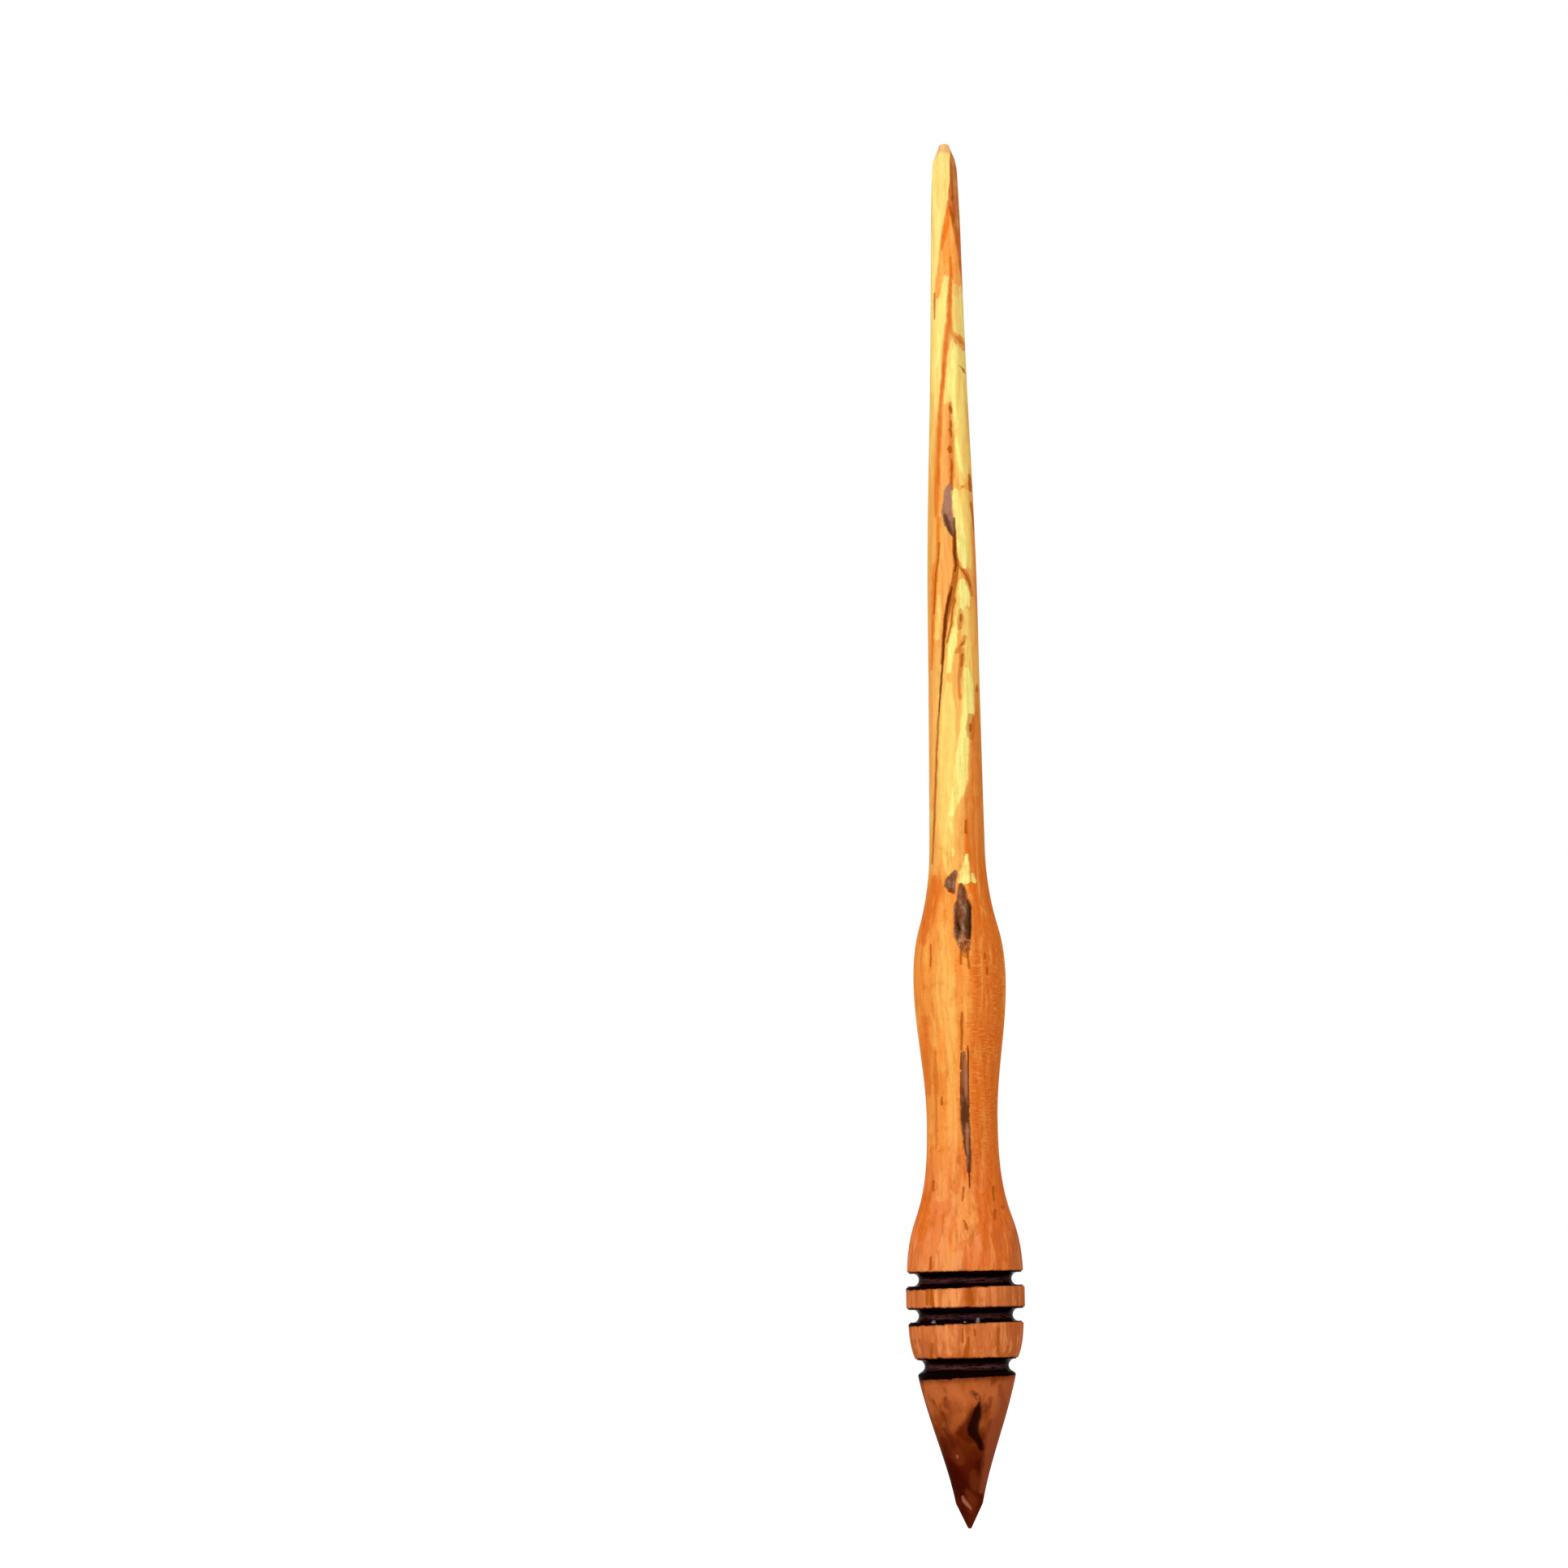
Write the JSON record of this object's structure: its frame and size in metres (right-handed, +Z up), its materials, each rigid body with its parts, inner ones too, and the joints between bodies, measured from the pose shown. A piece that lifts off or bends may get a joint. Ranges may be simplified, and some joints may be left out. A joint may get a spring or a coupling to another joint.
{
  "type": "support spindle",
  "caption": "Turned wooden support spindle with a slender shaft, a rounded belly, a flared whorl with ringed black coves, and a pointed foot that turns in a bowl.",
  "frame": {"origin": "the end of the bottom point, where the spindle stands in its bowl", "axes": "+Z up the spindle's axis towards the flick tip, and -Y towards the viewer of the picture"},
  "size_m": [0.0218, 0.0216, 0.254],
  "materials": {
    "wood": "satin to gloss, spalted light hardwood",
    "lining": "glossy near-black coat"
  },
  "bodies": {
    "root": {"spindle_body": "wood", "lower_cove_lining": "lining", "middle_cove_lining": "lining", "upper_cove_lining": "lining"}
  },
  "joints": []
}
